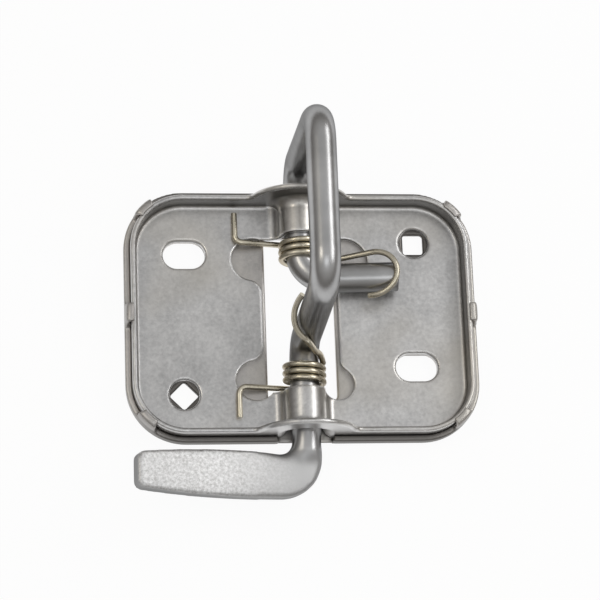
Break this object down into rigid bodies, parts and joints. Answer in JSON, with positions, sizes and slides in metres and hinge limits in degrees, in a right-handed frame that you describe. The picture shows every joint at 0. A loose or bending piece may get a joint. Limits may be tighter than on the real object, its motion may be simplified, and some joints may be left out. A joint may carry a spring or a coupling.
{
  "type": "hood latch",
  "caption": "Hood latch: a bent-rod bail with a flattened finger handle and a stop arm, turning in a pressed steel plate and held by torsion springs.",
  "frame": {"origin": "middle of the plate on its mounting face, half way between the two round fixing holes", "axes": "+Z out of the mounting face towards the loop, +Y along the pivot from handle to loop, +X away from the handle's tip"},
  "size_m": [0.0962, 0.0976, 0.0555],
  "materials": {
    "pan_sheet": "satin zinc plate",
    "tray_sheet": "satin zinc plate",
    "rod_steel": "bright zinc plate",
    "spring_wire": "pale plated spring wire"
  },
  "bodies": {
    "base": {"base_pan": "pan_sheet", "tray": "tray_sheet", "front_spring": "spring_wire", "rear_spring": "spring_wire"},
    "bail": {"bail_rod": "rod_steel"}
  },
  "joints": [
    {"name": "bail_pivot", "type": "hinge", "parent": "base", "child": "bail", "pos_m": [0, 0, 0.006], "axis": [0, -1, 0], "range_deg": [0, 18], "stiffness_Nm_per_rad": 1.2, "springref_deg": -17.19, "deforming": ["front_spring", "rear_spring"]}
  ]
}
